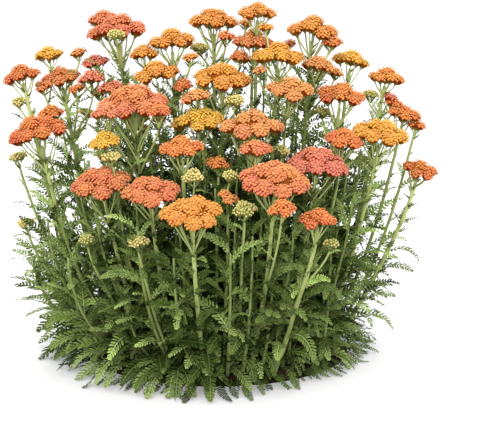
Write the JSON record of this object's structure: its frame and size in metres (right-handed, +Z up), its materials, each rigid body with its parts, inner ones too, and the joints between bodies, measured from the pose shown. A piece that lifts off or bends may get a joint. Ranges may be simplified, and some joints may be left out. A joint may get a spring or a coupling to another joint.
{
  "type": "yarrow plant",
  "caption": "Clump of yarrow in flower: feathery grey-green leaves and tall upright stems that carry flat-topped heads of small orange and coral flowers.",
  "frame": {"origin": "middle of the flat underside of the woody crown, on the surface that the plant stands on", "axes": "+Z up along the stems, -Y towards the front of the clump, +X to the right of someone facing that front"},
  "size_m": [0.6965, 0.5777, 0.5438],
  "materials": {
    "crown": "matte",
    "stem": "satin",
    "leaf": "matte",
    "petal_orange": "matte",
    "petal_amber": "matte",
    "petal_salmon": "matte",
    "petal_coral": "matte",
    "petal_rose": "matte",
    "petal_vermilion": "matte",
    "bud": "matte"
  },
  "bodies": {
    "root": {"crown": "crown", "stem_01": "stem", "stem_02": "stem", "stem_03": "stem", "stem_04": "stem", "stem_05": "stem", "stem_06": "stem", "stem_07": "stem", "stem_08": "stem", "stem_09": "stem", "stem_10": "stem", "stem_11": "stem", "stem_12": "stem", "stem_13": "stem", "stem_14": "stem", "stem_15": "stem", "stem_16": "stem", "stem_17": "stem", "stem_18": "stem", "stem_19": "stem", "stem_20": "stem", "stem_21": "stem", "stem_22": "stem", "stem_23": "stem", "stem_24": "stem", "stem_25": "stem", "stem_26": "stem", "stem_27": "stem", "flower_head_01": "petal_orange", "flower_head_02": "petal_coral", "flower_head_03": "petal_coral", "flower_head_04": "petal_coral", "flower_head_05": "petal_vermilion", "flower_head_06": "petal_rose", "flower_head_07": "petal_amber", "flower_head_08": "petal_vermilion", "flower_head_09": "petal_vermilion", "flower_head_10": "petal_salmon", "flower_head_11": "petal_amber", "flower_head_12": "petal_vermilion", "flower_head_13": "petal_coral", "flower_head_14": "petal_orange", "flower_head_15": "petal_vermilion", "flower_head_16": "petal_coral", "flower_head_17": "petal_coral", "flower_head_18": "petal_orange", "flower_head_19": "petal_orange", "flower_head_20": "petal_orange", "flower_head_21": "petal_amber", "flower_head_22": "petal_vermilion", "flower_head_23": "petal_orange", "flower_head_24": "petal_coral", "flower_head_25": "petal_coral", "flower_head_26": "petal_rose", "flower_head_27": "petal_amber", "leafy_shoot_1": "leaf", "leafy_shoot_2": "leaf", "leafy_shoot_3": "leaf", "leafy_shoot_4": "leaf", "leafy_shoot_5": "leaf"}
  },
  "joints": []
}
